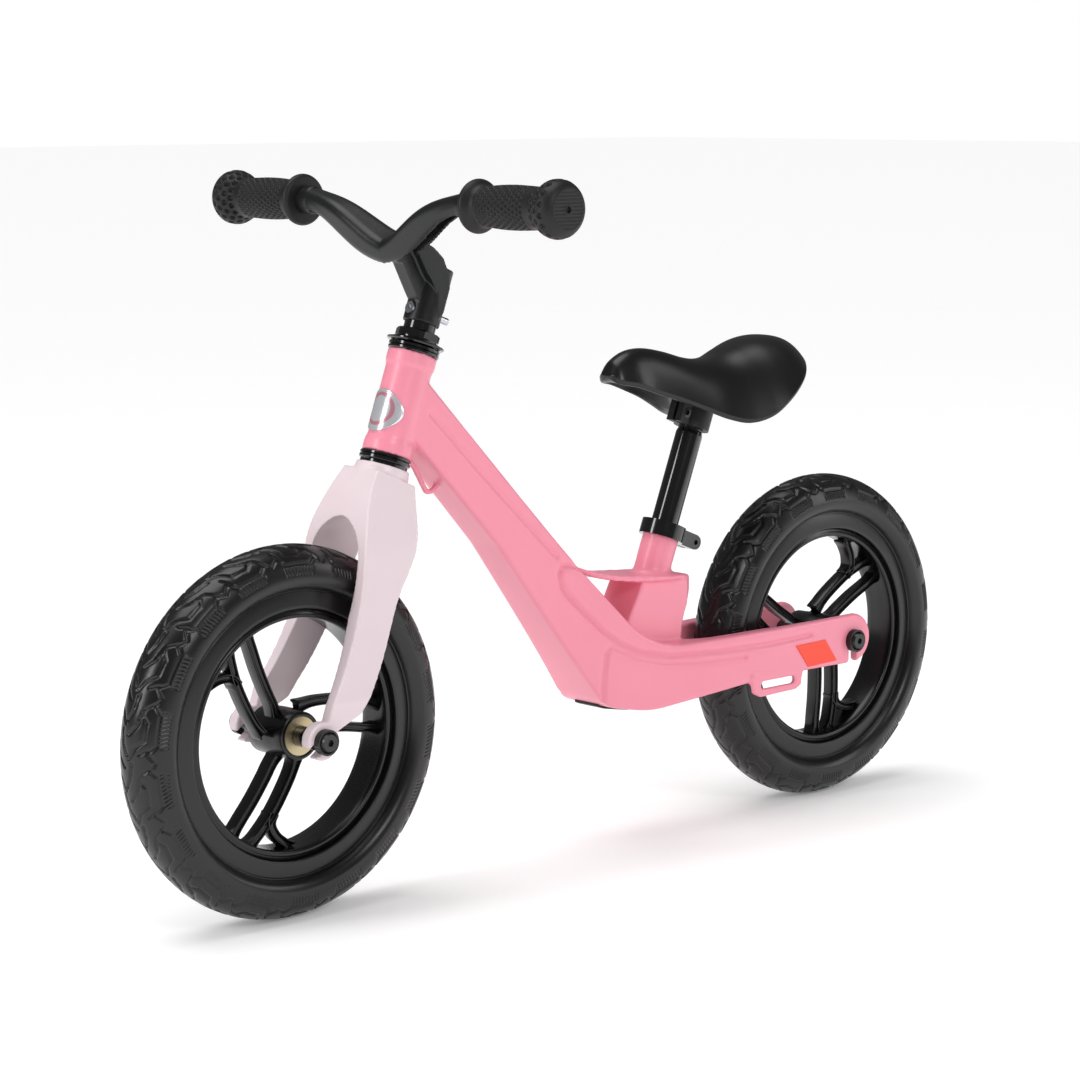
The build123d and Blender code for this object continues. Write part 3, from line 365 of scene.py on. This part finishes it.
# Profile (radius, across): a half circle for the tread, swelling sides, then the flat ring that
# lies on the rim.
def tyreProfile():
    half = tyre["width"] / 2
    shoulder = tyre["radius"] - half
    sweep = np.concatenate([np.linspace(-90, -80, 5)[:-1], np.linspace(-80, -60, 12)[:-1],
                            np.linspace(-60, 60, 41), np.linspace(60, 80, 12)[1:],
                            np.linspace(80, 90, 5)[1:]])
    a = np.radians(sweep)
    ring = tyre["ringWidth"] / 2
    side = [(118.5, 24.1), (116.0, 22.9), (114.0, 21.3), (112.6, 19.2), (111.9, 17.2), (111.5, 16.2),
            (111.0, 16.0), (110.4, 16.5), (109.6, 16.75), (105.0, 17.3), (100.0, ring - 0.1), (98.2, ring),
            (97.4, ring - 0.3), (97.2, ring - 1.0), (97.2, 14.0), (97.2, 7.0)]
    left = np.array(side)
    right = left[::-1] * (1, -1)
    hoop = np.stack([shoulder + half * np.cos(a), half * np.sin(a)], -1)
    return np.vstack([right, hoop, left]), a, len(side)


def makeTyre(name, centre, node, body):
    profile, a, sideCount = tyreProfile()
    depth = treadDepth(a * tyre["width"] / 2)
    turns = np.linspace(0, 2 * math.pi, tyre["cells"] * tyre["steps"], endpoint=False)[:, None]
    r = np.repeat(profile[None, :, 0], len(turns), 0)
    y = np.repeat(profile[None, :, 1], len(turns), 0)
    tread = slice(sideCount, sideCount + len(a))
    r[:, tread] -= depth * np.cos(a)
    y[:, tread] -= depth * np.sin(a)
    piece = makePiece(name, [shell(turned(r, y, turns, centre), along=True)])
    dress(piece, evaFoam, body, node)


makeTyre("frontTyreTread", frontAxle, "front_tyre", "front_wheel")
makeTyre("rearTyreTread", rearAxle, "rear_tyre", "rear_wheel")
print("tyres made")


# ---- rims
rim = {"inner": 89.8, "lip": 15.6, "hub": 18.7, "hubHalf": 21.3, "bearing": 15.0, "spokeHalf": 3.5,
       "spokeDeep": 6.0, "web": 3.4, "turns": {"front": 0.0, "rear": 85.0}}

# centre lines of one third of the wheel, ahead of and above the axle
spokeLines = [[(8.5, 12.0), (12.6, 24.0), (17.5, 34.0), (25.2, 52.0), (31.5, 70.0), (36.8, 84.0)],
              [(22.0, 1.0), (29.6, 11.0), (36.5, 23.0), (45.4, 42.0), (50.8, 60.0), (53.6, 75.0)],
              [(45.6, 42.6), (49.0, 47.0), (54.5, 49.6), (63.0, 49.4), (71.0, 46.6), (79.5, 43.2)]]


# A curve through the points by Catmull and Rom's rule.
def smoothLine(points, steps):
    p = np.array(points, float)
    p = np.vstack([2 * p[0] - p[1], p, 2 * p[-1] - p[-2]])
    t = np.linspace(0, 1, steps, endpoint=False)[:, None]
    parts = []
    for a, b, c, d in zip(p[:-3], p[1:-2], p[2:-1], p[3:]):
        parts.append(0.5 * (2 * b + (c - a) * t + (2 * a - 5 * b + 4 * c - d) * t * t
                            + (3 * b - a - 3 * c + d) * t ** 3))
    return np.vstack(parts + [p[-2:-1]])


# A spoke: an H section carried along its line, wider where it runs into hub and rim.
def spokeShell(line, turn, centre):
    path = smoothLine(line, 10)
    along = np.gradient(path, axis=0)
    along /= np.linalg.norm(along, axis=1)[:, None]
    beside = np.stack([-along[:, 1], along[:, 0]], -1)
    reach = np.concatenate([[0], np.cumsum(np.linalg.norm(np.diff(path, axis=0), axis=1))])
    flare = 1 + 0.55 * np.exp(-((reach[-1] - reach) / 5.0) ** 2) + 0.35 * np.exp(-(reach / 6.0) ** 2)
    w, d, web = rim["spokeHalf"], rim["spokeDeep"], rim["web"]
    quarter = [(w, 0), (w, d - 0.8), (w - 0.25, d - 0.2), (w - 0.7, d), (w - 1.1, d - 0.15),
               (w - 1.35, d - 0.6), (w - 1.6, web + 0.5), (w - 2.1, web), (0, web)]
    upper = quarter + [(-a, b) for a, b in quarter[-2::-1]]
    section = np.array(upper + [(a, -b) for a, b in upper[-2:0:-1]])
    flat = path[:, None, :] + beside[:, None, :] * section[None, :, :1] * flare[:, None, None]
    c, s = math.cos(math.radians(turn)), math.sin(math.radians(turn))
    x = flat[..., 0] * c - flat[..., 1] * s
    z = flat[..., 0] * s + flat[..., 1] * c
    y = np.broadcast_to(section[None, :, 1], x.shape)
    return shell(np.stack([centre[0] + x, centre[1] + y, centre[2] + z], -1))


# A ring: the half profile from (radius, across) at one face to the middle, mirrored.
def ringShell(half, centre, steps):
    half = np.array(half, float)
    profile = np.vstack([half, half[::-1] * (1, -1)])
    turns = np.linspace(0, 2 * math.pi, steps, endpoint=False)[:, None]
    return shell(turned(profile[None, :, 0] + 0 * turns, profile[None, :, 1] + 0 * turns, turns, centre),
                 along=True)


def makeRim(name, centre, end):
    inner, lip = rim["inner"], rim["lip"]
    barrel = [(97.0, 2), (97.0, 14.3), (96.6, 14.7), (94.6, 14.7), (94.0, 15.0), (93.4, lip - 0.3),
              (92.8, lip), (91.2, lip), (90.5, lip - 0.4), (inner, lip - 1.4), (inner - 0.2, 9),
              (inner - 0.5, 2)]
    hub, face, bearing = rim["hub"], rim["hubHalf"], rim["bearing"] + 0.1
    boss = [(bearing - 3, 2), (bearing - 3, face - 9.3), (bearing, face - 9.3), (bearing, face - 0.7),
            (bearing + 0.4, face), (hub - 1.4, face), (hub - 0.5, face - 0.3), (hub, face - 1.2),
            (hub + 0.1, 12), (hub + 0.6, 7), (hub + 0.8, 2)]
    shells = [ringShell(barrel, centre, 240), ringShell(boss, centre, 120)]
    for k in range(3):
        for line in spokeLines:
            shells.append(spokeShell(line, 120 * k + rim["turns"][end], centre))
    piece = makePiece(name, shells)
    dress(piece, nylonRim, end + "_wheel", end + "_rim")


makeRim("frontRimSpokes", frontAxle, "front")
makeRim("rearRimSpokes", rearAxle, "rear")
print("rims made")


# ---- grips
grip = {"inner": 101.5, "outer": 203.0, "around": 216, "bodyFrom": 15, "bodyTo": 30, "ballFrom": 27,
        "dimple": 1.45, "deep": 1.5, "row": 4.4, "count": 24,
        "ballDimple": 2.1, "ballDeep": 2.4, "ballRow": 6.4, "ballCount": 16, "ballReach": 17,
        "rib": 0.35, "ribPitch": 2.6}


# Grip profile along the bar: guard disc, bellied body, round safety end, closed at both tips.
def gripProfile():
    start, end = grip["inner"], grip["outer"]
    knots = np.array([(start, 11.2), (start, 14), (start + 0.3, 17.5), (start + 1.2, 19.3),
                      (start + 3.2, 20.4),
                      (start + 5.2, 20.3), (start + 7.4, 18.9), (start + 9.8, 16.6), (start + 13, 15.3),
                      (start + 18, 15.4), (start + 30, 16.4), (start + 46, 16.8), (start + 62, 16.3),
                      (start + 72, 15.9), (start + 77, 16.6), (start + 81.5, 19.2), (start + 86, 21.4),
                      (start + 90, 22.0), (start + 94, 21.6), (start + 98, 19.6), (start + 100.3, 17.4),
                      (start + 101.3, 15.4), (end, 13.4), (end, 6.0), (end, 2.6), (end - 1.2, 2.2),
                      (end - 2.5, 1.6)])
    knots[:, 0] = np.minimum(knots[:, 0], end)
    path = smoothLine(knots, 6)
    reach = np.concatenate([[0], np.cumsum(np.linalg.norm(np.diff(path, axis=0), axis=1))])
    even = np.linspace(0, reach[-1], grip["around"])
    return np.stack([np.interp(even, reach, path[:, 0]), np.interp(even, reach, path[:, 1])], -1), even


# Round dimples on a six-way lattice, by distance along the profile and round the grip.
def dimples(reach, angle, radius, low, high, pitch, count, size, deep):
    row = pitch * math.sqrt(3) / 2
    k = np.round((reach - low) / row)
    phase = angle / (2 * math.pi) * count + 0.5 * (k % 2)
    across = (phase - np.round(phase)) * 2 * math.pi * radius / count
    away = np.hypot(reach - low - k * row, across)
    inside = (k >= 0) & (low + k * row <= high)
    return deep * softStep(away, size, 0.7) * inside


def makeGrip(name, side, node):
    profile, reach = gripProfile()
    angle = np.linspace(0, 2 * math.pi, grip["around"], endpoint=False)
    s, a = np.meshgrid(reach, angle, indexing="ij")
    r = np.repeat(profile[:, 1:], len(angle), 1)
    y = np.repeat(profile[:, :1], len(angle), 1)
    slope = np.gradient(profile, axis=0)
    slope /= np.linalg.norm(slope, axis=1)[:, None]
    bodyLow, bodyHigh = grip["inner"] + grip["bodyFrom"], grip["outer"] - grip["bodyTo"]
    ballLow = grip["outer"] - grip["ballFrom"]
    body = (y > bodyLow) & (y < bodyHigh)
    ball = (y >= ballLow)
    firstBody, lastBody, firstBall = (reach[np.argmax(profile[:, 0] > edge)]
                                      for edge in (bodyLow, bodyHigh, ballLow))
    deep = dimples(s, a, r, firstBody + 2, lastBody - 2, grip["row"], grip["count"], grip["dimple"],
                   grip["deep"]) * body
    deep = deep + dimples(s, a, r, firstBall + 2.5, firstBall + 2.5 + grip["ballReach"], grip["ballRow"],
                          grip["ballCount"], grip["ballDimple"], grip["ballDeep"]) * ball
    r = r - deep * slope[:, :1]
    y = y + deep * slope[:, 1:]
    ribs = (profile[:, :1] > grip["outer"] - 0.4) & (r > 4) & (r < 14.5)
    y = y - ribs * grip["rib"] * (0.5 + 0.5 * np.cos(2 * math.pi * r * np.sin(a) / grip["ribPitch"]))
    x = gripMiddle[0] + r * np.cos(a)
    z = gripMiddle[2] + r * np.sin(a)
    piece = makePiece(name, [shell(np.stack([x, side * y, z], -1))])
    dress(piece, gripRubber, "steering", node)


makeGrip("leftGripSleeve", 1, "grip_left")
makeGrip("rightGripSleeve", -1, "grip_right")
print("grips made")


# ---- saddle
# stations from nose to tail: x, half width, crown height, edge height above the axles
saddle = {"stations": [(-42.0, 7.0, 251.0, 247.0), (-44.5, 11.0, 257.0, 244.5), (-50.0, 15.0, 263.5, 242.5),
                       (-64.0, 19.0, 269.6, 239.6), (-82.0, 21.5, 270.8, 233.5), (-104.0, 27.0, 267.0, 226.0),
                       (-128.0, 35.5, 260.5, 216.5), (-148.0, 43.0, 257.9, 208.5),
                       (-166.0, 51.0, 259.5, 205.0),
                       (-186.0, 58.0, 266.0, 210.0), (-206.0, 61.0, 272.0, 224.0),
                       (-224.0, 57.0, 274.2, 238.0),
                       (-240.0, 43.0, 272.3, 247.0), (-251.0, 27.0, 267.0, 252.5),
                       (-257.0, 12.0, 261.0, 256.0)],
          "axle": 145.0, "padding": 17.0, "rim": 4.0, "roll": 2.2, "crown": 2.35, "around": 120}


# Cross section at a station: a superellipse crown over a short rolled rim and an arched hollow.
def makeSaddle():
    line = smoothLine(saddle["stations"], 9)
    x, half, top, edge = (line[:, k][:, None] for k in range(4))
    n = saddle["around"]
    u = np.linspace(-1, 1, n)[None, :]
    bend = np.sin(u * math.pi / 2)
    crownY = half * bend
    crownZ = edge + saddle["rim"] + (top - edge - saddle["rim"]) * (1 - np.abs(bend) ** saddle["crown"])
    under = np.maximum(top - saddle["padding"], edge + 1.0)
    v = np.linspace(1, -1, n // 2)[None, :]
    roll = half - saddle["roll"]
    hollowY = roll * v
    hollowZ = edge + (under - edge) * (1 - v ** 2)
    corner = np.array([[0.0, 0.9], [0.15, 0.45], [0.5, 0.12]])
    right = np.stack([half - saddle["roll"] * corner[:, 0][None, :],
                      edge + saddle["rim"] * corner[:, 1][None, :]], -1)
    left = right[:, ::-1] * (-1, 1)
    ring = np.concatenate([np.stack([crownY, crownZ], -1), right,
                           np.stack([hollowY, hollowZ], -1), left], 1)
    points = np.concatenate([np.broadcast_to(x[:, :, None], ring.shape[:2] + (1,)), ring], -1)
    points[..., 2] += saddle["axle"]
    piece = makePiece("saddleFoam", [shell(points)])
    dress(piece, saddleSkin, "seat", "saddle_cover")


makeSaddle()
print("saddle made")


# ---- castings: a copy of the CAD solid with the soft edges and skin of a casting
casting = {"frame": {"voxel": 1.45, "rounds": 7}, "fork": {"voxel": 1.05, "rounds": 9},
           "bar": {"voxel": 0.95, "rounds": 9}, "inward": 0.5, "backOut": -0.52}


# From each point to the mean of its neighbours.
def towardNeighbours(points, edges):
    count = np.bincount(edges.ravel(), minlength=len(points))[:, None]
    total = np.stack([np.bincount(edges.ravel(), points[edges[:, ::-1], axis].ravel(), len(points))
                      for axis in range(3)], -1)
    return total / count - points


def edgesOf(mesh):
    edges = np.empty(len(mesh.edges) * 2, np.int64)
    mesh.edges.foreach_get("vertices", edges)
    return edges.reshape(-1, 2)


# Laplace smoothing that gives back what it shrinks: each round moves points to their neighbours'
# mean by half, then away from it by slightly more.
def evenOut(points, edges, rounds):
    for k in range(2 * rounds):
        step = casting["backOut"] if k % 2 else casting["inward"]
        points = points + step * towardNeighbours(points, edges)
    return points


def castCopy(name, node, settings):
    mesh = nodes[node].data.copy()
    work = bmesh.new()
    work.from_mesh(mesh)
    bmesh.ops.remove_doubles(work, verts=work.verts, dist=1e-6)
    work.to_mesh(mesh)
    work.free()
    rough = bpy.data.objects.new(name + "Rough", mesh)
    scene.collection.objects.link(rough)
    remesh = rough.modifiers.new("remesh", "REMESH")
    remesh.mode = "VOXEL"
    remesh.voxel_size = settings["voxel"] * mm
    made = bpy.data.meshes.new_from_object(rough.evaluated_get(bpy.context.evaluated_depsgraph_get()))
    bpy.data.objects.remove(rough)
    points = np.empty(len(made.vertices) * 3)
    made.vertices.foreach_get("co", points)
    points = evenOut(points.reshape(-1, 3), edgesOf(made), settings["rounds"])
    made.vertices.foreach_set("co", points.ravel())
    made.update()
    made.materials.clear()
    made.shade_smooth()
    piece = bpy.data.objects.new(name, made)
    scene.collection.objects.link(piece)
    print(name, len(made.polygons), "faces")
    return piece


def pointsOf(piece):
    points = np.empty(len(piece.data.vertices) * 3)
    piece.data.vertices.foreach_get("co", points)
    return points.reshape(-1, 3) * 1000


def movePoints(piece, points):
    piece.data.vertices.foreach_set("co", (points * mm).ravel())
    piece.data.update()


def normalsOf(piece):
    normals = np.empty(len(piece.data.vertices) * 3)
    piece.data.vertices.foreach_get("normal", normals)
    return normals.reshape(-1, 3)


# creases of the frame seen from the side: x and height in mm, with the groove's depth and width
frameCreases = [
    {"depth": 3.0, "width": 2.2,
     "line": [(4, 240.5), (19.5, 245), (28, 245.5), (31, 240), (30.7, 234), (27.6, 225.7), (15.3, 212.8),
              (1.9, 199.7), (-11.6, 186.7), (-26.1, 176.1), (-46.6, 165.8), (-76.3, 158.6),
              (-134.9, 155.5), (-200.8, 155.0), (-246.0, 156.5)]},
    {"depth": 2.2, "width": 2.0,
     "line": [(-19.0, 172.0), (-26.1, 168.5), (-46.6, 159.4), (-73.1, 152.3), (-111.4, 148.7),
              (-165.0, 147.5)]},
    {"depth": 2.4, "width": 2.1,
     "line": [(-19.0, 172.0), (-15.0, 168.0), (-13.6, 156.2), (-11.8, 139.5), (-11.5, 128.0)]},
    {"depth": 1.9, "width": 2.1, "line": [(164.0, 380.0), (115.4, 331.6), (73.8, 291.7), (35.0, 254.0)]}]

# the frame behind the seat tube, where its corners are rounded further
frameFlare = {"middle": (-95.0, 0, 213.0), "reach": 20, "across": 0.6, "rounds": 26}


# Each point moves toward its neighbours, fully near the middle and not at all past 1.6 reaches.
def softenRegion(piece, region):
    points, edges = pointsOf(piece), edgesOf(piece.data)
    away = np.linalg.norm((points - np.array(region["middle"])) * (1, region["across"], 1), axis=1)
    share = np.clip(1.6 - away / region["reach"], 0, 1)[:, None]
    for _ in range(region["rounds"]):
        points = points + casting["inward"] * share * towardNeighbours(points, edges)
    movePoints(piece, points)


# The seat post's bore: its points are left out of the softening, then set on a cylinder about the
# seat axis. The cylinder clears the post by 0.2 mm all round, more than the 0.05 of the CAD's bore.
seatBore = {"start": (-107.9, 0, 258.5), "up": (-0.3719, 0, 0.9283), "radius": 11.9, "wallReach": 1.4,
            "innerReach": 9, "floor": -142, "bottom": -136, "top": 4}


def reamBore(piece, before):
    points, up = pointsOf(piece), np.array(seatBore["up"])
    away = before - np.array(seatBore["start"])
    along = away @ up
    away = away - along[:, None] * up
    reach = np.linalg.norm(away, axis=1)
    inside = ((reach < seatBore["radius"] + seatBore["wallReach"])
              & (along > seatBore["floor"]) & (along < seatBore["top"]))
    points[inside] = before[inside]
    wall = inside & (reach > seatBore["innerReach"]) & (along > seatBore["bottom"])
    points[wall] += away[wall] * (seatBore["radius"] / reach[wall] - 1)[:, None]
    movePoints(piece, points)


# The creases are pressed into the outward flanks along the skin's normal.
def makeFrame():
    piece = castCopy("frameCasting", "frame", casting["frame"])
    before = pointsOf(piece)
    softenRegion(piece, frameFlare)
    reamBore(piece, before)
    points, normals = pointsOf(piece), normalsOf(piece)
    flank = np.clip(np.sign(points[:, 1]) * normals[:, 1] * 2.5 - 0.3, 0, 1) * (np.abs(points[:, 1]) > 14)
    depth = np.zeros(len(points))
    for crease in frameCreases:
        near = lineDistance(points[:, 0], points[:, 2], [crease["line"]])
        depth = np.maximum(depth, crease["depth"] * np.exp(-(near / crease["width"]) ** 2))
    movePoints(piece, points - normals * (depth * flank)[:, None])
    dress(piece, pinkPowderCoat, "frame", "frame")


makeFrame()
dress(castCopy("forkCasting", "fork", casting["fork"]), palePowderCoat, "steering", "fork")
dress(castCopy("barMoulding", "handlebar", casting["bar"]), nylonBar, "steering", "handlebar")
print("castings made")


# A plain roundel on the badge: silver with one coloured ring, by distance from its middle.
badge = {"ring": 0.0120, "ringWidth": 0.0016, "ringEdge": 0.8, "headUp": (-0.3453, 0.0, 0.9385),
         "colour": "#E79AAA"}


def makeBadgeFinish():
    material = makeFinish("domedBadge", "#D9DCE0", "#E8EAEE", 0.22, 0.04, 1.0, 0.05, metallic=0.6)
    tree, shader = material.node_tree, shaderOf(material)
    place = next(n for n in tree.nodes if n.type == "TEX_COORD")
    away = addNode(tree, "ShaderNodeVectorMath", {"operation": "SUBTRACT"},
                   (place.outputs["Object"], (middleOf("head_badge") * mm).tolist()))
    parts = [addNode(tree, "ShaderNodeVectorMath", {"operation": "DOT_PRODUCT"}, (away.outputs[0], way))
             for way in (badge["headUp"], (0, 1, 0))]
    flat = addNode(tree, "ShaderNodeCombineXYZ", None, [part.outputs["Value"] for part in parts])
    reach = addNode(tree, "ShaderNodeVectorMath", {"operation": "LENGTH"}, (flat.outputs[0],))
    off = addNode(tree, "ShaderNodeMath", {"operation": "SUBTRACT"}, (reach.outputs["Value"], badge["ring"]))
    size = addNode(tree, "ShaderNodeMath", {"operation": "ABSOLUTE"}, (off.outputs[0],))
    width = badge["ringWidth"]
    share = addNode(tree, "ShaderNodeMapRange", {"From Min": width, "From Max": width * badge["ringEdge"]},
                    Value=size.outputs[0])
    body = shader.inputs["Base Color"].links[0].from_socket
    painted = mixColour(tree, share.outputs["Result"], body, hexColour(badge["colour"]))
    tree.links.new(painted, shader.inputs["Base Color"])
    return material


# ---- finishes of the CAD nodes that stay
finishes = {
    "front_wheel_bearings": bearingBrass, "rear_wheel_bearings": bearingBrass,
    "front_axle": zincSteel, "rear_axle": zincSteel, "stem_bolt": zincSteel,
    "front_axle_bolts": blackOxide, "rear_axle_bolts": blackOxide,
    "front_axle_caps": nylonRim, "rear_axle_caps": nylonRim,
    "head_badge": makeBadgeFinish(), "saddle_base": nylonBase, "saddle_bracket": nylonBase,
    "underside_pad": gripRubber,
    "headset_upper_bearing": zincSteel, "headset_lower_bearing": zincSteel,
    "reflector_left": makeFinish("reflectiveFilm", "#F8452C", "#FA4E35", 0.42, 0.04, 1.0, 0.12),
}
finishes["reflector_right"] = finishes["reflector_left"]
for name, node in nodes.items():
    node.data.materials.clear()
    node.data.materials.append(finishes.get(name, glossEnamel))
print("CAD nodes finished")
